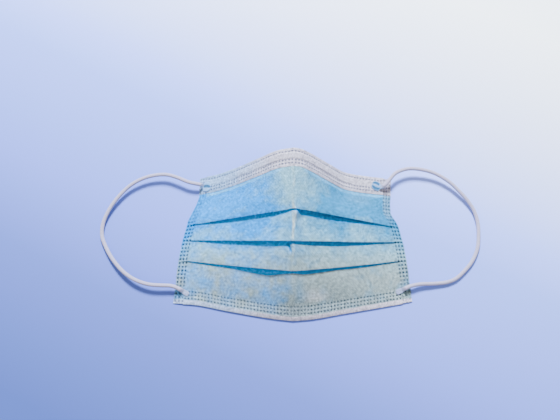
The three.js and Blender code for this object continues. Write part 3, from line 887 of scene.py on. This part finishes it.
# Pleated cloth between the weld seams
def pleated_cloth():
    end = seam_column(-seam_overlap)
    u = np.concatenate([
        spread(-end, -fine_zone, wide_column)[:-1],
        spread(-fine_zone, fine_zone, fine_column),
        spread(fine_zone, end, wide_column)[1:],
    ])

    def rows_of(y, z, deep=0.0, edge=0.0, below=0.0):
        return [value + 0 * y for value in (y, z, deep, edge, below)]

    nose, band = nose_row(u), band_row(u)
    t = np.linspace(band_lap / band_width, 0, lap_rows)[:, None]
    rows = [rows_of(mix(band[0], nose[0], t), mix(band[1], nose[1], t), below=far_below)]
    last = {"end": band, "slope_out": (nose[1] - band[1]) / band_width + band_slope * nose[1] / peak_height}
    for lip, count in zip(lips, panel_rows):
        fold = pleat(u, lip, last)
        t = np.linspace(0, 1, count + 1)[1:-1, None]
        y, z = sweep(last["end"], last["slope_out"], fold["start"], fold["slope_in"], t)
        under_band = 0.0
        if "shade" not in last:
            fade = 1 - smooth(*pale_under_band, last["end"][0] - y)
            under_band = 1.3 * fade * smooth(0.05, 0.2, abs(u))
        rows.append(rows_of(y, z - pressed_line(t, u), edge=under_band, below=strip_below(last, y)))
        turn_rows, *inner_rows, _ = fold["rows"]
        # Painted fold shade (deep) over the riser, the tuck and the run out under the lip
        round_lip = np.linspace(0, 1, turn_rows)
        down = np.concatenate([smooth(0.4, 0.7, round_lip), np.ones(sum(inner_rows)), (0.0,)])
        # Painted highlight (edge) on the round of each lip
        tip = np.concatenate([smooth(0, 0.35, round_lip), np.zeros(len(down) - turn_rows)]) * (1 - down)
        hidden = np.where(np.arange(len(down)) < turn_rows, far_below, 0.0)
        rows.append(rows_of(fold["y"], fold["z"], down[:, None], tip[:, None], hidden[:, None]))
        last = fold
    t = np.linspace(0, 1, last_panel_rows)[1:, None]
    y = mix(last["end"][0], chin_row(u)[0] + hem_zone, t)
    rows.append(rows_of(y, last_panel(u, y), below=strip_below(last, y)))
    y, z, deep, edge, below = (np.concatenate(part) for part in zip(*rows))
    grid = crumple(place(u, y, z))
    along = running(grid[:, len(u) // 2])
    uv = np.stack([grid[..., 0], -along[:, None] + 0 * u], -1)
    spot = (grid[..., 0], grid[..., 1])
    marks = {
        "deep": deep, "edge": edge, "below": below, "pit": smooth(0.25, 0.7, in_crease(*spot)),
        "dusky": np.clip(mounds(shade_and_tone_places, *spot), 0, 1),
        "bleached": np.clip(mounds(highlight_places, *spot), 0, 1),
    }
    return slab("pleated_cloth", *faces_of(grid), uv, marks)


def strip_below(fold, y):
    """Distance under the lip of the fold above, in widths of the strip of painted shade that the lip keeps.
    """
    if "shade" not in fold:
        return far_below + 0 * y
    return np.clip((fold["end"][0] + clearance - y) / fold["shade"], 0, far_below)


def pressed_line(t, u):
    """The faint straight line that packing has pressed across a panel."""
    depth, middle, width = 0.14 * MM, 0.55, 0.035
    return depth * np.exp(-(((t - middle) / width) ** 2)) * (1 - smooth(0.75, 0.9, abs(u)))


cloth_piece = pleated_cloth()


# Strips along the nose and chin edges: a leaf over the cloth, round the edge and back below it
strip_u = spread(-seam_column(-seam_overlap), seam_column(-seam_overlap), fine_column)
beside = 0.01


def strip_marks(edge, distance):
    """Where each point lies along and across a strip, for the rows of weld dots."""
    along = running(edge)
    return {"along": 0 * distance[:, None] + along - along[-1] / 2, "across": distance[:, None] + 0 * along}


def edge_strip(name, row, foot, width, half, leaf, step, flip=1):
    """half gives the distance of the outer face from the cloth's middle, at each distance from the edge."""
    u = strip_u
    edge = place(u, *row(u))
    down = unit(place(u, *foot(u)) - edge)
    out = unit(np.cross(down, place(u + beside, *row(u + beside)) - place(u - beside, *row(u - beside))))
    leaf_rows = spread(0, width, step)[1:][::-1]
    turn = np.linspace(90, -90, turn_points)
    distance = np.concatenate([leaf_rows, np.zeros(len(turn)), leaf_rows[::-1]])
    side = np.concatenate([np.ones(len(leaf_rows)), np.sin(np.radians(turn)), -np.ones(len(leaf_rows))])
    nose_out = np.concatenate([0 * leaf_rows, np.cos(np.radians(turn)), 0 * leaf_rows])
    height = half(distance[:, None], u)
    thinned = thinned_share * leaf * smooth(width - thinned_edge, width, distance)[:, None]

    def face(inset):
        reach = height - np.maximum(inset, thinned)
        along_cloth = distance[:, None, None] - nose_out[:, None, None] * reach[..., None]
        return edge + down * along_cloth + out * (side[:, None] * reach)[..., None]

    top, bottom = crumple(face(0)), crumple(face(leaf))
    marks = strip_marks(edge, distance)
    uv = np.stack([marks["along"], side[:, None] * marks["across"]], -1)
    return turned_slab(name, flip, top, bottom, uv, marks)


def band_face(d, u):
    """Half thickness of the nose band: thin where it is welded, raised over the wire."""
    wired = 1 - smooth(wire_reach - 3 * MM, wire_reach + 2 * MM, abs(u) * foot_half_width)
    channel = smooth(*channel_rise, d) * (1 - smooth(*channel_fall, d))
    bulge = (channel_bulge + wire_bulge * wired) * channel + lower_bulge * smooth(7.5 * MM, 9 * MM, d)
    return welded_half + bulge


def binding_face(d, u):
    return welded_half + 0 * d * u


def press_tree(name, finish, rows, pitch, dot, length):
    """Rows of small square weld dots pressed into both faces of a strip."""
    sizes = {"Pitch": pitch, "Dot": dot, "Length": length, "Depth": dot_depth,
             "Row 1": rows[0], "Row 2": rows[1], "Row 3": rows[2], "Finish": finish}
    tree, start, end = new_tree(name, sizes)

    def named(key):
        node = add_node(tree, "GeometryNodeInputNamedAttribute", {"Name": key}, data_type="FLOAT")
        return node.outputs[0]

    def within(distance, size):
        half = times(start.outputs[size], 0.5)
        rim = times(half, 0.45)
        inside = calc("DIVIDE", calc("SUBTRACT", plus(half, times(rim, 0.5)), distance), rim)
        return calc("SMOOTH_MIN", held(inside), 1.0, 0.1)

    cell = calc("DIVIDE", named("along"), start.outputs["Pitch"])
    off = absolute(calc("SUBTRACT", calc("FRACT", cell), 0.5))
    in_line = within(times(off, start.outputs["Pitch"]), "Length")
    in_row = 0.0
    for key in ("Row 1", "Row 2", "Row 3"):
        away = absolute(calc("SUBTRACT", named("across"), start.outputs[key]))
        in_row = calc("MAXIMUM", in_row, within(away, "Dot"))
    mask = times(times(in_line, in_row), named("press"))
    depth = times(mask, times(start.outputs["Depth"], -1.0))
    kept = stored(start.outputs["Geometry"], "weld", mask)
    close_tree(push_out(kept, depth), start.outputs["Finish"], end)
    return tree, sizes


nose_band = edge_strip("nose_band_cloth", nose_row, band_row, band_width, band_face, band_leaf, strip_row)
band_press = press_tree("press_band", white_face, band_dot_rows, band_dot_pitch, dot_size, band_dot_length)
nose_band = grow(nose_band, *band_press)


def hem_cloth():
    """The lowest stretch of blue cloth, where three rows of dots run above the chin edge."""
    u = strip_u
    distance = spread(hem_under, hem_zone, strip_row)[::-1]
    y = chin_row(u)[0] + distance[:, None]
    grid = crumple(place(u, y, last_panel(u, y)))
    # Painted light: the middle of the hem is paler, lifting the shade of its slope towards the chin
    paler = mix(0.48, 0.16, smooth(0.3, 0.75, abs(u)))
    marks = {
        **strip_marks(place(u, *chin_row(u)), distance),
        "paler": paler * (1 - smooth(0.6, 1, distance / hem_zone))[:, None],
        "press": (1 - 0.35 * np.exp(-((u / 0.12) ** 2))) + 0 * distance[:, None],
    }
    uv = np.stack([marks["along"], marks["across"]], -1)
    return slab("hem_cloth", *faces_of(grid), uv, marks)


hem_press = press_tree("press_hem", blue_face, hem_dot_rows, hem_dot_pitch, dot_size, hem_dot_length)
hem = grow(hem_cloth(), *hem_press)


def chin_foot(u):
    """A point a little way up the cloth from the chin edge."""
    y = chin_row(u)[0] + binding_width
    return y, last_panel(u, y)


binding = edge_strip(
    "chin_binding", chin_row, chin_foot, binding_width, binding_face, binding_leaf, binding_row, flip=-1)
binding.data.materials.append(white_face)

# Height of the finished cloth over the table
body_trees = []


def refresh_heights(*made):
    for piece in made:
        points = [v.co for v in piece.data.vertices]
        body_trees.append(BVHTree.FromPolygons(points, [f.vertices for f in piece.data.polygons]))


def height_at(x, y):
    top = 0.0
    for tree in body_trees:
        hit = tree.ray_cast(Vector((x, y, 0.2)), Vector((0, 0, -1)))[0]
        if hit is not None:
            top = max(top, hit.z)
    return top


refresh_heights(cloth_piece, nose_band, hem, binding)


# Weld seams at the sides
def weld_seam(name, side):
    length = side_length[0] if side < 0 else side_length[1]
    t = spread(0, 1, seam_row / length)
    s = np.linspace(0, 1, seam_columns)
    inner = side * seam_column(0)
    u = mix(inner, side, s) + 0 * t[:, None]
    nose, chin = nose_row(u)[0], chin_row(u)[0]
    y = mix(nose, chin, t[:, None])
    x = across(u, y)
    top_edge = np.array([height_at(px - side * soft_step, py) for px, py in zip(x[:, 0], y[:, 0])])
    first = np.argmax(top_edge > lowest_cloth)
    top_edge[:first] = top_edge[first]
    last = len(top_edge) - 1 - np.argmax(top_edge[::-1] > lowest_cloth)
    top_edge[last:] = top_edge[last]
    lean = 1 - (1 - s) ** 1.25
    top = mix(top_edge[:, None], seam_rim, lean)
    pucker = np.array([
        [noise.noise(Vector((side * 7, py * pucker_waves, ps * 1.4))) for ps in s] for py in y[:, -1]])
    top += pucker * pucker_height * (s * (1.2 - s)) * 2
    wave = np.array([noise.noise(Vector((side * 3.1, py * rim_waves, 0))) for py in y[:, -1]])
    x = x + side * (wave[:, None] * rim_sway) * (s**2)
    stack = np.maximum(0, top_edge - seam_stack)
    flat_share = 1 - seam_foot / seam_width
    bottom = stack[:, None] * np.clip(1 - s / flat_share, 0, 1) + seam_lift
    passed = t * length
    band = 1 - smooth(band_width - soft_step, band_width + soft_step, passed)
    chin_white = smooth(length - binding_width - soft_step, length - binding_width + soft_step, passed)
    across_seam = (1 - s) * seam_width
    marks = {
        "along": passed[:, None] + 0 * s,
        "across": across_seam + 0 * t[:, None],
        "white": np.maximum(band, chin_white)[:, None] + 0 * s,
        "press": curve(left_press if side < 0 else right_press, t)[:, None] + 0 * s,
        # Painted light on the upper part of the right seam
        "paler": (0.24 if side > 0 else 0.0) * (1 - smooth(0.27, 0.38, t))[:, None] + 0 * s,
    }
    upper = np.stack([x, y, top], -1)
    lower = np.stack([x, y, np.minimum(bottom, top - seam_least)], -1)
    piece = turned_slab(name, side, upper, lower, np.stack([x, y], -1), marks)
    dots = (seam_dot_rows, seam_dot_pitch, seam_dot_size, seam_dot_size)
    return grow(piece, *press_tree("press_" + name, blue_face, *dots))


seams = {
    "side_seam_left": weld_seam("weld_seam_left", -1),
    "side_seam_right": weld_seam("weld_seam_right", 1),
}
refresh_heights(*seams.values())


# Flattened, welded ends of the ear loops
def end_path(tip, towards, middle, heading, half_length):
    """Points in the table's plane from the round cord's tip to the far end of the flat."""
    turned = math.radians(heading)
    ahead = np.array((math.cos(turned), math.sin(turned)))
    far = np.array(middle) + ahead * half_length
    length = np.linalg.norm(far - tip)
    handles = (tip, tip + towards * 0.3 * length, far - ahead * 0.5 * length, far)
    t = np.linspace(0, 1, end_rows)[:, None]
    weights = ((1 - t) ** 3, 3 * (1 - t) ** 2 * t, 3 * (1 - t) * t**2, t**3)
    return sum(weight * handle for weight, handle in zip(weights, handles))


def in_bar(side, share, aside, begin, stop):
    """How strongly a point of a flat is pressed by a slightly curved weld bar."""
    rim, half, bow = 0.06, 0.4, 0.16
    arch = aside - math.copysign(bow, aside) * (2 * share - begin - stop) ** 2
    ends = smooth(begin - rim, begin + rim, share) * (1 - smooth(stop - rim, stop + rim, share))
    return math.exp(-(((side - arch) / half) ** 4)) * float(ends)


def loop_end(name, line, middle, heading, half_length, half_width, bars):
    """The cord's last stretch, going from round to flat and lying down on the cloth."""
    at_start = "nose" in name
    tip, before = (line[0], line[3]) if at_start else (line[-1], line[-4])
    towards = unit((tip - before)[:2])
    path = end_path(tip[:2] - towards * 0.6 * MM, towards, middle, heading, half_length)
    way = unit(np.gradient(path, axis=0))
    passed = running(path)
    total = passed[-1]
    flat_from = total - 2 * half_length
    flat = smooth(0, flat_from + 0.3 * MM, passed)
    radius = loop_diameter / 2
    left = np.clip((total - passed) / (0.8 * half_width), 0, 1)
    rounding = np.sqrt(np.maximum(0.01, 1 - (1 - left) ** 2))
    widening = smooth(flat_from - 1.0 * MM, flat_from + 0.7 * MM, passed)
    half_wide = mix(radius, half_width, widening) * rounding
    half_high = mix(radius, loop_end_thickness / 2, flat) * (0.35 + 0.65 * rounding)
    b = np.sin(np.linspace(-math.pi / 2, math.pi / 2, end_columns))
    top, bottom = np.zeros((2, len(path), len(b), 3))
    groove, weld = np.zeros((2, len(path), len(b)))
    for i, (x0, y0) in enumerate(path):
        share = (passed[i] - flat_from) / (2 * half_length)
        power = mix(2.0, 3.4, flat[i])
        for j, side in enumerate(b):
            x, y = x0 - side * half_wide[i] * way[i, 1], y0 + side * half_wide[i] * way[i, 0]
            lying = height_at(x, y) + loop_end_gap + half_high[i]
            middle_z = mix(tip[2], lying, flat[i])
            swell = (max(0, 1 - abs(side) ** power)) ** (1 / power)
            rib = 0.5 + 0.5 * math.cos(side * math.pi * (3 if half_width < 2 * MM else 5))
            stitch = 0.5 + 0.5 * math.sin((passed[i] / knit_row + abs((side * 2.5) % 1 - 0.5)) * math.tau)
            bar = max([in_bar(side, share, *place) for place in bars], default=0.0)
            high = half_high[i] * swell * (1 - 0.4 * bar) * (0.88 + 0.12 * rib * stitch)
            top[i, j] = (x, y, middle_z + high)
            bottom[i, j] = (x, y, middle_z - half_high[i] * swell * 0.96 - 0.02 * MM)
            tinted = flat[i] * (0.42 * smooth(-0.7, 0.9, abs(side)) if bars else 0.13)
            groove[i, j] = (1 - rib * stitch) * 0.8 + 0.3 * flat[i]
            weld[i, j] = max(bar, tinted)
    marks = {"groove": groove[::-1], "weld": weld[::-1]}
    piece = slab(name + "_weld", top[::-1], bottom[::-1], None, marks)
    piece.data.materials.append(elastic)
    dress(piece, name)
    return piece


for name, settings in loop_ends.items():
    side = name.rsplit("_", 1)[1]
    loop_end(name, loops["ear_loop_" + side][1], *settings)

# Finishes and what each piece stands for
cloth_piece.data.materials.append(blue_face)
cloth_piece.data.materials.append(white_face)
dress(cloth_piece, "face_panel")
dress(hem, "face_panel")
dress(nose_band, "nose_band")
dress(binding, "chin_hem")
for name, piece in seams.items():
    dress(piece, name)

wire = bpy.data.objects["nose_wire"]
for holder in wire.material_slots:
    holder.material = wire_coat

for name, (piece, line, length) in loops.items():
    side = name.rsplit("_", 1)[1]

# Table top and soft light
top_data = bpy.data.meshes.new("table_top")
reach = 3.0
corners = [(-reach, -reach, 0), (reach, -reach, 0), (reach, reach, 0), (-reach, reach, 0)]
top_data.from_pydata(corners, [], [(0, 1, 2, 3)])
floor = add_object("table_top", top_data)
floor.data.materials.append(table_top("table_top", [
    (-0.39, rgb(66, 85, 151)), (-0.2, rgb(85, 103, 177)), (-0.07, rgb(107, 126, 212)),
    (0.1, rgb(126, 148, 230)), (0.16, rgb(144, 164, 245)), (0.5, rgb(249, 253, 255)),
]))


def soft_light(name, position, aim, size, watts, colour):
    data = bpy.data.lights.new(name, "AREA")
    data.energy = watts
    data.size = size
    data.color = colour
    aim_at(add_object(name, data), position, aim)


soft_light("key", (-0.06, 0.97, 1.07), (0, 0, 0), 0.3, 104, (0.75, 0.84, 1.0))
soft_light("fill", (-0.4, -0.7, 1.2), (0, 0, 0), 1.2, 5, (0.9, 0.95, 1.0))
world = bpy.data.worlds.new("room")
world.use_nodes = True
feed(world.node_tree.nodes["Background"], {"Color": (1.0, 0.98, 0.94, 1.0), "Strength": 0.8})
bpy.context.scene.world = world
